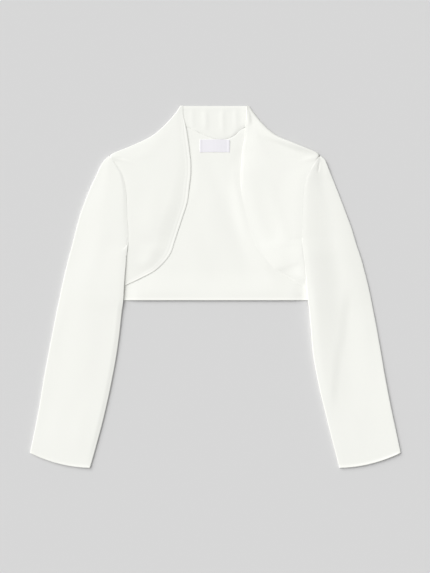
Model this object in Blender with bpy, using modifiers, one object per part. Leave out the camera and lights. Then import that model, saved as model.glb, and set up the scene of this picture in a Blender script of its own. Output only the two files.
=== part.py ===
"""A bolero jacket laid out flat: open fronts with a grown-on stand collar, long sleeves.

Units: metres, with the driving tables in millimetres. +Z up, +Y towards the collar, +X towards the
wearer's left sleeve. The origin is on the ground under the middle of the jacket, and the back panel
rests there. "Right" and "left" are the wearer's: the right sleeve lies at -X.
"""

import math

import bmesh
import bpy
import numpy as np

mm = 0.001

# Driving dimensions, in millimetres
CLOTH = 1.5  # thickness of the crepe with its turned edge
SEAM_GAP = 0.3  # what parts two pieces at a seam, or one lying on the other
SEAM_CLEAR = 1.5 * SEAM_GAP  # front armhole to the sleeve's inner line
ARMHOLE_CLEAR = 3.5 * SEAM_GAP  # back armhole to the sleeve's underside
GROUND_GAP = 0.5  # how far a turned-down front edge stops above the ground
HEM_Y = -26.0
COLLAR_TOP_Y = 352.2
SIDE_SEAM_X = 210.0
JOIN_WITHIN = 0.02  # a ring's first and last points are joined within this
BACK_TUCK = 3.0  # how far inside the outline the back ends, where the front turns down round it
COLLAR_TUCK = 4.4  # the same across the slanting side of the collar
UNDERARM_Y = 56.0
FOLD_TOP_Y = 81.0  # below this the sleeve's inner fold lies over the front
CUFF_BULGE = 7.0  # how far the cuff curves out past the straight line between its corners
CUFF_BULGE_FROM = 0.75  # share of the sleeve's stations where the bulge starts
LABEL = {
    "width": 58.5,
    "height": 25.0,
    "centre_x": -0.5,
    "centre_y": 274.5,
    "thick": 1.0,
    "rounding": 0.3,
}

# One row a station down each front, from the collar's corner to the side seam at the hem: the outer
# line (collar side, shoulder, armhole, side seam), the free front edge, the height of the cloth's top
# at the outer line, and how far the cloth turns down there to meet the back (1) or stays up to meet
# the sleeve (0). x counts outward from the centre line.
FRONT_COLUMNS = ("outer_x", "outer_y", "edge_x", "edge_y", "height", "turn")
FRONT_RIGHT = (
    (67.5, 352.4, 62.8, 353.3, 3.9, 1.0),
    (78.2, 339.0, 62.8, 338.0, 4.0, 1.0),
    (97.1, 317.4, 57.8, 317.0, 4.3, 1.0),
    (126.4, 293.0, 53.2, 291.0, 4.6, 1.0),
    (165.0, 274.8, 50.0, 267.0, 4.6, 1.0),
    (205.6, 255.8, 47.2, 240.0, 4.8, 1.0),
    (195.6, 243.2, 47.2, 222.0, 5.8, 0.0),
    (180.8, 219.6, 49.6, 200.0, 6.5, 0.0),
    (172.3, 180.0, 53.6, 167.0, 6.8, 0.0),
    (170.9, 145.0, 62.2, 139.0, 6.8, 0.0),
    (168.9, 110.0, 71.2, 111.5, 6.8, 0.0),
    (168.7, 95.0, 78.0, 90.5, 6.4, 0.0),
    (168.9, 81.0, 85.8, 66.8, 3.3, 0.0),
    (189.0, 69.0, 97.0, 50.5, 3.3, 0.0),
    (210.0, 55.0, 116.8, 31.7, 3.3, 0.0),
    (210.0, 27.0, 145.8, 16.2, 3.3, 1.0),
    (210.0, 0.0, 180.6, -0.8, 3.3, 1.0),
    (210.0, -22.4, 202.0, -20.5, 3.3, 1.0),
)
FRONT_LEFT = (
    (66.6, 352.4, 62.0, 353.0, 3.9, 1.0),
    (74.3, 341.0, 61.8, 338.0, 4.0, 1.0),
    (93.2, 317.6, 60.2, 314.0, 4.3, 1.0),
    (119.9, 294.8, 57.6, 290.0, 4.6, 1.0),
    (163.0, 276.4, 53.6, 266.0, 4.6, 1.0),
    (204.2, 256.4, 51.6, 240.0, 4.8, 1.0),
    (194.2, 243.2, 50.6, 222.0, 5.8, 0.0),
    (179.8, 219.6, 50.6, 202.0, 6.5, 0.0),
    (172.0, 180.0, 54.4, 170.0, 6.8, 0.0),
    (170.9, 145.0, 60.2, 141.0, 6.8, 0.0),
    (168.9, 110.0, 69.2, 110.0, 6.8, 0.0),
    (168.7, 95.0, 76.0, 91.0, 6.4, 0.0),
    (168.9, 81.0, 84.6, 72.5, 3.3, 0.0),
    (189.0, 69.0, 97.4, 55.0, 3.3, 0.0),
    (210.0, 55.0, 116.5, 34.5, 3.3, 0.0),
    (210.0, 27.0, 145.0, 14.8, 3.3, 1.0),
    (210.0, 0.0, 182.0, -8.5, 3.3, 1.0),
    (210.0, -22.4, 202.0, -20.5, 3.3, 1.0),
)

# One row a station down the sleeves. Inner is the front armhole seam, and below the underarm the
# fold; outer is the outside fold. The right and left sleeves were laid a little differently. under is
# how far the seam on the underside (back armhole, then underarm seam) lies in from the inner line.
# start is where the cloth begins on its way round the ring: 6 at the armhole seam, 0 where it closes.
SLEEVE_COLUMNS = (
    "inner_y", "right_inner", "left_inner", "outer_y", "right_outer", "left_outer",
    "under", "start", "inner_height", "outer_height",
)
SLEEVE = (
    (251.0, 202.2, 200.6, 255.0, 207.4, 206.0, 0.5, 6.0, 4.8, 4.6),
    (243.0, 196.2, 194.8, 246.2, 216.6, 214.9, 0.8, 6.0, 5.8, 4.8),
    (232.6, 189.0, 187.8, 234.5, 224.4, 219.8, 1.0, 6.0, 6.2, 5.2),
    (219.4, 181.3, 180.3, 219.0, 231.6, 226.0, 1.5, 6.0, 6.5, 5.4),
    (199.0, 175.5, 175.0, 203.0, 239.2, 232.5, 2.2, 6.0, 6.8, 5.6),
    (180.0, 172.8, 172.5, 181.0, 248.8, 241.1, 3.6, 6.0, 6.8, 5.8),
    (145.0, 171.4, 171.4, 144.0, 262.6, 255.2, 5.0, 6.0, 6.8, 5.8),
    (110.0, 169.4, 169.4, 110.0, 272.2, 267.6, 10.5, 6.0, 6.8, 5.8),
    (95.0, 169.2, 169.2, 94.0, 276.2, 272.2, 15.0, 6.0, 7.1, 5.8),
    (81.0, 169.6, 169.6, 80.0, 279.6, 276.4, 21.4, 2.0, 8.3, 5.8),
    (55.0, 172.5, 172.8, 54.0, 286.8, 285.2, 38.4, 0.0, 8.4, 5.8),
    (3.4, 176.7, 178.0, 3.0, 298.8, 298.4, 34.4, 0.0, 8.4, 5.8),
    (-25.5, 178.2, 180.6, -25.5, 304.8, 304.6, 31.6, 0.0, 8.4, 5.8),
    (-48.0, 181.3, 183.4, -46.0, 309.2, 308.5, 30.0, 0.0, 7.2, 5.8),
    (-80.0, 184.7, 186.2, -78.0, 315.4, 314.8, 30.0, 0.0, 6.6, 5.8),
    (-130.0, 191.4, 190.8, -126.0, 324.8, 323.3, 30.0, 0.0, 6.6, 5.8),
    (-188.0, 202.0, 201.2, -180.0, 334.8, 332.5, 30.0, 0.0, 6.5, 5.8),
    (-245.0, 214.4, 214.8, -234.0, 343.6, 343.0, 28.0, 0.0, 6.4, 5.7),
    (-301.0, 228.8, 228.8, -283.0, 353.2, 353.4, 26.0, 0.0, 6.2, 5.6),
    (-352.8, 243.4, 242.4, -323.5, 361.6, 362.0, 24.0, 0.0, 6.0, 5.4),
)

# Half of the neck seam on the back, from the centre out to the shoulder point
NECK_COLUMNS = ("x", "right_y", "left_y")
NECK = (
    (0.0, 288.8, 288.8),
    (8.0, 291.6, 288.2),
    (16.0, 295.0, 288.6),
    (26.0, 299.2, 290.6),
    (37.0, 304.4, 296.2),
    (49.0, 310.6, 308.0),
    (68.0, 315.4, 314.6),
    (90.0, 314.6, 313.6),
)

FRONT_COVERS_NECK_FROM = 49.0  # the fronts hide the neck seam from here out

# Where the lift of the back panel under the left front's edge runs, and how wide it reaches
RIDGE_COLUMNS = ("y", "x", "reach", "height")
RIDGE = (
    (262.0, 62.0, 14.0, 0.0),
    (220.0, 60.0, 30.0, 1.2),
    (150.0, 68.0, 36.0, 1.6),
    (90.0, 88.0, 40.0, 1.6),
    (40.0, 118.0, 42.0, 1.2),
    (-4.0, 150.0, 40.0, 0.0),
)

CREPE_COLOUR = (0.91, 0.92, 0.87, 1.0)
LABEL_COLOUR = (0.93, 0.92, 0.95, 1.0)
CREPE_ROUGHNESS = 0.75
LABEL_ROUGHNESS = 0.45
SMOOTH_UP_TO = math.radians(40)  # steeper edges between faces are shaded sharp


def column(rows, names, name):
    return np.array([row[names.index(name)] for row in rows], float)


def smooth_curve(stations, values, at):
    """Values between stations on a curve that never overshoots them."""
    steps = np.diff(stations)
    slopes = np.diff(values) / steps
    tangents = np.zeros(len(values))
    tangents[0], tangents[-1] = slopes[0], slopes[-1]
    for k in range(1, len(values) - 1):
        if slopes[k - 1] * slopes[k] > 0:
            tangents[k] = 2 / (1 / slopes[k - 1] + 1 / slopes[k])
    at = np.clip(at, stations[0], stations[-1])
    k = np.clip(np.searchsorted(stations, at, side="right") - 1, 0, len(steps) - 1)
    s = (at - stations[k]) / steps[k]
    return (
        values[k] * (1 + 2 * s) * (1 - s) ** 2
        + values[k + 1] * s * s * (3 - 2 * s)
        + steps[k] * (tangents[k] * s * (1 - s) ** 2 - tangents[k + 1] * s * s * (1 - s))
    )


def down_stations(rows, names, name, at):
    """A column of a station table, read at station numbers that may lie between rows."""
    return smooth_curve(np.arange(len(rows), dtype=float), column(rows, names, name), at)


def smoothstep(low, high, value):
    s = np.clip((value - low) / (high - low), 0, 1)
    return s * s * (3 - 2 * s)


def ridge_lift(x, y):
    """How high the back panel lifts off the ground, under the left front's edge only."""
    order = slice(None, None, -1)
    rows_y = column(RIDGE, RIDGE_COLUMNS, "y")[order]
    middle, reach, height = (
        smooth_curve(rows_y, column(RIDGE, RIDGE_COLUMNS, name)[order], y)
        for name in ("x", "reach", "height")
    )
    s = np.clip(np.abs(x - middle) / reach, 0, 1)
    return height * (1 - s * s) ** 2


def cloth_from_grid(name, rows, columns, place, closed=False):
    """A wall of cloth: a grid of rows by columns, placed by a function, given its thickness.

    place takes arrays of row and column numbers and gives x, y, z of the wall's middle in mm.
    """
    mesh = bpy.data.meshes.new(name)
    work = bmesh.new()
    bmesh.ops.create_grid(work, x_segments=columns, y_segments=rows, size=1.0)
    work.verts.ensure_lookup_table()
    flat = np.array([v.co for v in work.verts])
    x, y, z = place((flat[:, 1] + 1) / 2 * rows, (flat[:, 0] + 1) / 2 * columns)
    for vertex, *point in zip(work.verts, x, y, z):
        vertex.co = [value * mm for value in point]
    if closed:
        bmesh.ops.remove_doubles(work, verts=work.verts, dist=JOIN_WITHIN * mm)
    work.to_mesh(mesh)
    work.free()
    piece = bpy.data.objects.new(name, mesh)
    wall = piece.modifiers.new("wall", "SOLIDIFY")
    wall.thickness = CLOTH * mm
    wall.offset = 0.0
    wall.use_even_offset = True
    wall.use_quality_normals = True
    return piece


def front_outline(rows, at):
    """Outer point, edge point, height and turn of a front at station numbers."""
    return [down_stations(rows, FRONT_COLUMNS, name, at) for name in FRONT_COLUMNS]


def inner_line_x(side, y):
    """The sleeve's inner line (armhole seam, then fold) at a height on the jacket."""
    rows_y = column(SLEEVE, SLEEVE_COLUMNS, "inner_y")[::-1]
    name = "right_inner" if side < 0 else "left_inner"
    at_seam = smooth_curve(rows_y, column(SLEEVE, SLEEVE_COLUMNS, name)[::-1], y)
    return np.where(y > rows_y[-1], at_seam + (y - rows_y[-1]), at_seam)


FRONT_ROWS_PER_STATION = 2
FRONT_FLAT_COLUMNS = 8
FRONT_TURN_COLUMNS = 3
PUFF_REACH = 46.0  # how far in from the front edge the cloth has risen to its full height
PUFF_TOP = 6.6
OUTER_REACH = 36.0  # how far in from the outer line the cloth has come to that line's height
OUTER_REACH_SHARE = 0.6  # and the most of a row's length that this takes
UNDER_SLEEVE_X = (126.0, 162.0)  # where the front goes down to pass under the sleeve's fold
UNDER_SLEEVE_FADE = 34.0  # how far above the fold's top it still leans down
FOLLOWS_RIDGE = (10.0, 60.0)  # how far from its edge the front follows the back's lift


def make_front(name, rows, side):
    """side is -1 for the wearer's right front and 1 for the left."""

    def place(row, col):
        outer_x, outer_y, edge_x, edge_y, height, turn = front_outline(
            rows, row / FRONT_ROWS_PER_STATION
        )
        # Along the armhole the front stops just short of the sleeve
        seam_x = inner_line_x(side, outer_y) - SEAM_CLEAR
        outer_x = np.where(outer_y > FOLD_TOP_Y, np.minimum(outer_x, seam_x), outer_x)
        # The outer line is pulled in so that the wall's own thickness and the seam gap fit
        length = np.hypot(outer_x - edge_x, outer_y - edge_y)
        along_x, along_y = (outer_x - edge_x) / length, (outer_y - edge_y) / length
        radius = height - CLOTH / 2 - GROUND_GAP
        inset = turn * CLOTH / 2 + (1 - turn) * SEAM_GAP / 2
        flat_length = length - inset - radius
        flat_share = np.clip(col / FRONT_FLAT_COLUMNS, 0, 1)
        angle = np.clip((col - FRONT_FLAT_COLUMNS) / FRONT_TURN_COLUMNS, 0, 1) * math.pi / 2
        out = radius * (turn * np.sin(angle) + (1 - turn) * angle / (math.pi / 2))
        drop = turn * radius * (1 - np.cos(angle))
        from_edge = flat_share * flat_length + out
        from_outer = length - from_edge
        x = edge_x + along_x * from_edge
        y = edge_y + along_y * from_edge
        # From the free edge, which rests on the back, the cloth rises to a low puff and then runs
        # to its outer line, staying low where the sleeve's fold lies on it
        low = 2 * CLOTH + SEAM_GAP
        rise = smoothstep(0, PUFF_REACH, from_edge)
        top = low + (PUFF_TOP - low) * rise
        outer_reach = np.minimum(OUTER_REACH, OUTER_REACH_SHARE * length)
        near_outer = 1 - smoothstep(0, outer_reach, from_outer)
        top = top + (height - top) * near_outer
        above_fold = smoothstep(FOLD_TOP_Y, FOLD_TOP_Y + UNDER_SLEEVE_FADE, y)
        under_sleeve = smoothstep(*UNDER_SLEEVE_X, x) * (1 - above_fold)
        top = top + (low - top) * under_sleeve
        lift = ridge_lift(side * x, y) * (1 - smoothstep(*FOLLOWS_RIDGE, from_edge))
        return side * x, y, top + lift - CLOTH / 2 - drop

    piece = cloth_from_grid(
        name,
        FRONT_ROWS_PER_STATION * (len(rows) - 1),
        FRONT_FLAT_COLUMNS + FRONT_TURN_COLUMNS,
        place,
    )
    return piece


# Ring positions on a sleeve: underside over the body 0-2, inner fold 2-6, top 6-14, outer fold
# 14-18, underside 18-22. A row that starts later leaves the armhole open.
RING_ENDS = (0.0, 2.0, 6.0, 14.0, 18.0, 22.0)
SLEEVE_ROW_STATIONS = tuple(
    np.concatenate([np.arange(0, 8), np.arange(8, 10, 1 / 3), np.arange(10, 19.1, 0.5)])
)
BODY_STACK = 2 * (CLOTH + SEAM_GAP)  # back, front and their gaps, under the sleeve's fold
STEP_OUT = (1.5, 13.0)  # where the underside comes down beside the body, from the side seam
STEP_DOWN_AT_HEM = (21.0, 3.0)  # how far below the hem the fold has come down, and starts to
FOLD_GROWS = 1.5  # how much sooner than the ring closes its inner fold is round
TOP_LEVEL_SHARE = 0.8  # share of the top over which it goes from the inner to the outer height


def make_sleeve(name, side):
    which = "right" if side < 0 else "left"

    def place(row, col):
        at = np.interp(row, np.arange(len(SLEEVE_ROW_STATIONS)), SLEEVE_ROW_STATIONS)

        def read(column_name):
            return down_stations(SLEEVE, SLEEVE_COLUMNS, column_name, at)

        inner_x, inner_y = read(which + "_inner"), read("inner_y")
        outer_x, outer_y = read(which + "_outer"), read("outer_y")
        under, inner_height, outer_height = read("under"), read("inner_height"), read("outer_height")
        start = np.interp(at, np.arange(len(SLEEVE)), column(SLEEVE, SLEEVE_COLUMNS, "start"))
        width = np.hypot(outer_x - inner_x, outer_y - inner_y)
        ring = np.where(
            col <= RING_ENDS[3],
            start + (RING_ENDS[3] - start) * col / RING_ENDS[3],
            col,
        )
        folded = (RING_ENDS[2] - start) / RING_ENDS[2]  # 0 above the fold, 1 once the ring closes
        is_fold = np.clip(folded * FOLD_GROWS, 0, 1)
        over_body = smoothstep(*(HEM_Y - below for below in STEP_DOWN_AT_HEM), inner_y)
        stack = BODY_STACK * over_body

        # Inner fold, top, outer fold and underside, as distances out from the inner line
        low_in = stack + CLOTH / 2
        high_in = inner_height - CLOTH / 2
        low_out, high_out = CLOTH / 2, outer_height - CLOTH / 2
        r_in, r_out = (high_in - low_in) / 2, (high_out - low_out) / 2
        fold_in = SEAM_GAP / 2 + is_fold * (CLOTH / 2 + r_in - SEAM_GAP / 2)
        fold_out = width - CLOTH / 2 - r_out
        part = np.searchsorted(RING_ENDS, ring, side="right").clip(1, 5)
        share = (ring - np.take(RING_ENDS, part - 1)) / (
            np.take(RING_ENDS, part) - np.take(RING_ENDS, part - 1)
        )
        turn_in = math.pi * (share - 0.5)
        turn_out = math.pi * (0.5 - share)
        out = np.select(
            [part == 1, part == 2, part == 3, part == 4],
            [
                under + (fold_in - under) * share,
                fold_in - r_in * np.cos(turn_in),
                fold_in + (fold_out - fold_in) * share,
                fold_out + r_out * np.cos(turn_out),
            ],
            fold_out + (under - fold_out) * share,
        )
        x = inner_x + (outer_x - inner_x) * out / width
        y = inner_y + (outer_y - inner_y) * out / width
        # The underside climbs from the ground onto the body beside the side seam
        seam_open = smoothstep(UNDERARM_Y, FOLD_TOP_Y, inner_y)
        beside = out - under
        climb = stack * (1 - seam_open) * (1 - smoothstep(*STEP_OUT, beside))
        top_share = np.clip((out - fold_in) / (fold_out - fold_in), 0, 1)
        top = high_in + (high_out - high_in) * smoothstep(0, TOP_LEVEL_SHARE, top_share)
        z = np.select(
            [part == 1, part == 2, part == 3, part == 4],
            [
                low_in,
                (high_in + low_in) / 2 + r_in * np.sin(turn_in),
                top,
                (high_out + low_out) / 2 + r_out * np.sin(turn_out),
            ],
            CLOTH / 2 + climb,
        )
        # The cuff curves out a little
        across = np.clip(out / width, 0, 1)
        last = len(SLEEVE) - 1
        bulge = 4 * across * (1 - across) * smoothstep(CUFF_BULGE_FROM * last, last, at)
        return side * x, y - CUFF_BULGE * bulge, z

    return cloth_from_grid(
        name, len(SLEEVE_ROW_STATIONS) - 1, int(RING_ENDS[-1]), place, closed=True
    )


# Which stations of the front and of the sleeve the back's shoulders and armholes follow, in how
# many points, and how far each of its lines stays from the piece beside it
SHOULDER_STATIONS = np.linspace(4.7, 2.1, 7)
ARMHOLE_STATIONS = np.linspace(10, 0.3, 11)
NECK_POINTS = 10
SIDE_SEAM_POINTS = 4
ARMHOLE_START_BELOW = 3.0  # the side seam's points stop this far below the underarm
NECK_END_CLEAR = 5 * SEAM_GAP


def inset_line(x, y, distance):
    """A line moved to its left, as seen on the way along it."""
    dx, dy = np.gradient(x), np.gradient(y)
    length = np.hypot(dx, dy)
    return x - dy / length * distance, y + dx / length * distance


def shoulder_line(rows, side):
    """Back shoulder and collar side, just inside the front's turned-down cloth, out to in."""
    x = down_stations(rows, FRONT_COLUMNS, "outer_x", SHOULDER_STATIONS)
    y = down_stations(rows, FRONT_COLUMNS, "outer_y", SHOULDER_STATIONS)
    x, y = inset_line(x, y, BACK_TUCK)
    return side * x, y


def neck_line(rows, side):
    """Neck seam from the centre out, its hidden end stretched to reach the shoulder line."""
    x = column(NECK, NECK_COLUMNS, "x")
    y = column(NECK, NECK_COLUMNS, "right_y" if side < 0 else "left_y")
    at = np.linspace(0, x[-1], NECK_POINTS)
    shown = FRONT_COVERS_NECK_FROM
    end = abs(shoulder_line(rows, side)[0][-1]) - NECK_END_CLEAR
    stretch = (end - shown) / (x[-1] - shown)
    return side * np.where(at < shown, at, shown + (at - shown) * stretch), smooth_curve(x, y, at)


def back_side(side):
    """Side seam and back armhole from the hem up, clear of the front and the sleeve."""
    side_in = SIDE_SEAM_X - BACK_TUCK
    which = "right" if side < 0 else "left"
    inner_x, inner_y, under = (
        down_stations(SLEEVE, SLEEVE_COLUMNS, name, ARMHOLE_STATIONS)
        for name in (which + "_inner", "inner_y", "under")
    )
    x = np.minimum(inner_x + under - ARMHOLE_CLEAR, side_in)
    seam_y = np.linspace(HEM_Y, UNDERARM_Y - ARMHOLE_START_BELOW, SIDE_SEAM_POINTS)
    return (
        side * np.concatenate([np.full(SIDE_SEAM_POINTS, side_in), x]),
        np.concatenate([seam_y, inner_y]),
    )


def make_back():
    right_shoulder, left_shoulder = shoulder_line(FRONT_RIGHT, -1), shoulder_line(FRONT_LEFT, 1)
    right_neck, left_neck = neck_line(FRONT_RIGHT, -1), neck_line(FRONT_LEFT, 1)
    top = [
        np.concatenate([a, b[::-1], c[1:], d[::-1]])
        for a, b, c, d in zip(right_shoulder, right_neck, left_neck, left_shoulder)
    ]
    right_side, left_side = back_side(-1), back_side(1)
    rows, columns = len(right_side[0]), len(top[0]) - 1
    right_side = [np.append(a, b[0]) for a, b in zip(right_side, top)]
    left_side = [np.append(a, b[-1]) for a, b in zip(left_side, top)]

    def place(row, col):
        i, j = np.rint(row).astype(int), np.rint(col).astype(int)
        across = (top[0] - top[0][0]) / (top[0][-1] - top[0][0])
        up = (right_side[1] - HEM_Y) / (right_side[1][-1] - HEM_Y)
        w, v = across[j], up[i]
        hem = right_side[0][0] + (left_side[0][0] - right_side[0][0]) * w
        point = []
        for axis, bottom in ((0, hem), (1, np.full(len(w), HEM_Y))):
            low_right, low_left = right_side[axis][0], left_side[axis][0]
            high_right, high_left = right_side[axis][-1], left_side[axis][-1]
            point.append(
                (1 - v) * bottom
                + v * top[axis][j]
                + (1 - w) * right_side[axis][i]
                + w * left_side[axis][i]
                - (1 - w) * (1 - v) * low_right
                - w * (1 - v) * low_left
                - (1 - w) * v * high_right
                - w * v * high_left
            )
        return point[0], point[1], CLOTH / 2 + ridge_lift(point[0], point[1])

    return cloth_from_grid("back", rows, columns, place)


COLLAR_ROWS = 4


def make_back_collar():
    """The stand at the back neck: its inner side shows between the fronts."""
    right, left = neck_line(FRONT_RIGHT, -1), neck_line(FRONT_LEFT, 1)
    bottom = [np.concatenate([a[::-1], b[1:]]) for a, b in zip(right, left)]
    bottom = inset_line(*bottom, SEAM_GAP)
    top_right = COLLAR_TUCK - column(FRONT_RIGHT, FRONT_COLUMNS, "outer_x")[0]
    top_left = column(FRONT_LEFT, FRONT_COLUMNS, "outer_x")[0] - COLLAR_TUCK
    rows, columns = COLLAR_ROWS, len(bottom[0]) - 1

    def place(row, col):
        j = np.rint(col).astype(int)
        w = (bottom[0] - bottom[0][0])[j] / (bottom[0][-1] - bottom[0][0])
        up = row / rows
        top_x = top_right + (top_left - top_right) * w
        x = bottom[0][j] + (top_x - bottom[0][j]) * up
        low_y = bottom[1][j]
        return x, low_y + (COLLAR_TOP_Y - low_y) * up, np.full(len(x), CLOTH / 2)

    return cloth_from_grid("back_collar", rows, columns, place)


def make_label():
    """A woven label lying on the back just under the neck seam."""
    bpy.ops.mesh.primitive_cube_add(
        size=1.0,
        location=(
            LABEL["centre_x"] * mm,
            LABEL["centre_y"] * mm,
            (CLOTH + SEAM_GAP + LABEL["thick"] / 2) * mm,
        ),
    )
    piece = bpy.context.object
    piece.name = piece.data.name = "neck_label"
    piece.dimensions = (LABEL["width"] * mm, LABEL["height"] * mm, LABEL["thick"] * mm)
    bpy.ops.object.transform_apply(location=False, rotation=False, scale=True)
    rounding = piece.modifiers.new("rounding", "BEVEL")
    rounding.width = LABEL["rounding"] * mm
    rounding.segments = 1
    return piece


def make_material(name, colour, roughness):
    material = bpy.data.materials.new(name)
    material.use_nodes = True
    shader = material.node_tree.nodes["Principled BSDF"]
    shader.inputs["Base Color"].default_value = colour
    shader.inputs["Roughness"].default_value = roughness
    shader.inputs["Metallic"].default_value = 0.0
    material.diffuse_color = colour
    return material


def main():
    for thing in list(bpy.data.objects):
        bpy.data.objects.remove(thing)
    jacket = bpy.data.collections.new("bolero jacket")
    bpy.context.scene.collection.children.link(jacket)
    crepe = make_material("ivory crepe", CREPE_COLOUR, CREPE_ROUGHNESS)
    weave = make_material("label weave", LABEL_COLOUR, LABEL_ROUGHNESS)
    pieces = [
        (make_back(), crepe),
        (make_back_collar(), crepe),
        (make_front("front_right", FRONT_RIGHT, -1), crepe),
        (make_front("front_left", FRONT_LEFT, 1), crepe),
        (make_sleeve("sleeve_right", -1), crepe),
        (make_sleeve("sleeve_left", 1), crepe),
        (make_label(), weave),
    ]
    for piece, material in pieces:
        for home in list(piece.users_collection):
            home.objects.unlink(piece)
        jacket.objects.link(piece)
        piece.data.materials.append(material)
        piece.data.shade_smooth()
        piece.data.set_sharp_from_angle(angle=SMOOTH_UP_TO)


main()
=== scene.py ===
import math

import bpy
import numpy as np
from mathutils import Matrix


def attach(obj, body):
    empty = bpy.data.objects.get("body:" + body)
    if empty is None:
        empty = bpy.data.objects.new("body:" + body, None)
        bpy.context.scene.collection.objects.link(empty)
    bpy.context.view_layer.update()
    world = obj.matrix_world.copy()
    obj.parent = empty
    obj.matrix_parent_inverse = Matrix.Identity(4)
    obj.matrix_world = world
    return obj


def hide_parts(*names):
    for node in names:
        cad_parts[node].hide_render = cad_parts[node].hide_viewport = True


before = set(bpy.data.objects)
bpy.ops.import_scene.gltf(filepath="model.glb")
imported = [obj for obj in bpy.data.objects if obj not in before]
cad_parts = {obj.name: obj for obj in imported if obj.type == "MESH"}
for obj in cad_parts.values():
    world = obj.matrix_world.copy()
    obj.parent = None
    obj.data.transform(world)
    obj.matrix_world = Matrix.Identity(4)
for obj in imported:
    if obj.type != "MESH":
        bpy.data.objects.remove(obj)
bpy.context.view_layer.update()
mm = 0.001

# Sizes are in millimetres as on the cutting table and turned to metres where a vertex is placed.
# Right and left are the wearer's: the right sleeve lies at -X. x counts outward from the middle.
sideNames = {-1: "right", 1: "left"}
cloth = {
    "wall": 1.25,  # one layer of crepe, laid a little loosely
    "edge": 1.7,  # where the cloth is turned under: hem, cuffs, front edges, collar top
    "seamLap": 1.1,  # how far one piece dives under the other at a seam
    "lapDrop": 0.4,
    "groundGap": 0.4,
    "crisp": 0.25,  # a fold is this much narrower than it is high
    "weld": 0.02,  # points closer than this are one
    "stitchesHold": 1.5,  # so near the stitches it lies flat
}
# How high the front lies along the armhole seam and, below it, along the sleeve's fold, and how
# high the sleeve leaves it underneath
seamHeights = {
    "y": (-20, 0, 20, 60, 81, 100, 180, 220, 243, 252),
    "rightTop": (2.9, 3.0, 3.0, 3.8, 4.4, 4.6, 4.2, 3.8, 3.6, 3.5),
    "leftTop": (5.2, 6.6, 7.8, 8.3, 7.6, 6.9, 6.0, 5.3, 4.7, 4.7),
    "rightUnder": (2.8, 2.9, 2.9, 3.6, 4.2, 4.6, 4.2, 3.8, 3.6, 3.5),
    "leftUnder": (3.0, 3.1, 3.6, 4.9, 5.4, 6.9, 6.0, 5.3, 4.7, 4.7),
}


def fade(low, high, value):
    s = np.clip((value - low) / (high - low), 0, 1)
    return s * s * (3 - 2 * s)


def bell(distance, width):
    return np.exp(-((distance / width) ** 2))


def smoothThrough(stations, values, at):
    # a curve through the stations that never overshoots them
    stations, values = np.asarray(stations, float), np.asarray(values, float)
    steps = np.diff(stations)
    slopes = np.diff(values) / steps
    tangents = np.zeros(len(values))
    tangents[0], tangents[-1] = slopes[0], slopes[-1]
    for k in range(1, len(values) - 1):
        if slopes[k - 1] * slopes[k] > 0:
            tangents[k] = 2 / (1 / slopes[k - 1] + 1 / slopes[k])
    at = np.clip(at, stations[0], stations[-1])
    k = np.clip(np.searchsorted(stations, at, side="right") - 1, 0, len(steps) - 1)
    s = (at - stations[k]) / steps[k]
    return (
        values[k] * (1 + 2 * s) * (1 - s) ** 2
        + values[k + 1] * s * s * (3 - 2 * s)
        + steps[k] * (tangents[k] * s * (1 - s) ** 2 - tangents[k + 1] * s * s * (1 - s))
    )


def columnOf(table, name):
    return [row[table["columns"].index(name)] for row in table["rows"]]


def readColumn(table, name, at):
    values = columnOf(table, name)
    return smoothThrough(np.arange(len(values)), values, at)


def readLines(table, keys, at, stations="y"):
    return (smoothThrough(table[stations], table[key], at) for key in keys)


def acrossLine(x, y, x0, y0, x1, y1, bend):
    # distance to the left of a line, and how far along it, with its middle bowed by bend
    runX, runY = x1 - x0, y1 - y0
    length = math.hypot(runX, runY)
    along = ((x - x0) * runX + (y - y0) * runY) / length**2
    across = ((y - y0) * runX - (x - x0) * runY) / length
    return across - bend * 4 * along * (1 - along), along


# Creases and steps are lines: x0, y0, x1, y1, width, height, bend. They fade over these shares of
# their length, beyond their ends and inside them.
endFades = {"crease": (0.12, 0.3), "step": (0.2, 0.25)}


def fadedEnds(along, outside, inside):
    # 1 along the middle of a line, and gone a little beyond its ends
    return fade(-outside, inside, along) * (1 - fade(1 - inside, 1 + outside, along))


def creaseLift(x, y, creases):
    # soft ridges (height above 0) and troughs (below 0), thinning out at both ends
    lift = np.zeros(len(x))
    for x0, y0, x1, y1, width, height, bend in creases:
        across, along = acrossLine(x, y, x0, y0, x1, y1, bend)
        lift += height * fadedEnds(along, *endFades["crease"]) * bell(across, width)
    return lift


def stepLift(x, y, steps):
    # the cloth to the left of the line lies higher by height
    lift = np.zeros(len(x))
    for x0, y0, x1, y1, width, height, bend in steps:
        across, along = acrossLine(x, y, x0, y0, x1, y1, bend)
        half = fade(-width, width, across) - 0.5
        lift += height * fadedEnds(along, *endFades["step"]) * half
    return lift


# height, mm across and mm up to a radian, share of the seed
looseWaves = ((0.34, 41, 67, 1.0), (0.27, 29, -53, 2.1), (0.16, 71, 23, 3.7))
# height, mm to a radian, share of the seed
puckerWaves = ((0.5, 2.9, 1.0), (0.3, 1.7, 2.3), (0.35, 5.3, 4.1))


def unevenness(x, y, seed):
    # the slow rise and fall of cloth that was smoothed out by hand
    return sum(
        height * np.sin(x / across + y / up + share * seed)
        for height, across, up, share in looseWaves
    )


def seamPucker(along, seed):
    # the small uneven gathering that a line of stitches draws up
    return sum(height * np.sin(along / run + share * seed) for height, run, share in puckerWaves)


def besideSeam(fromSeam, reach):
    # the cloth gathers beside the stitches, not on them
    return bell(fromSeam, reach) * (1 - bell(fromSeam, cloth["stitchesHold"]))


def deselectAll():
    for thing in bpy.context.selected_objects:
        thing.select_set(False)


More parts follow.
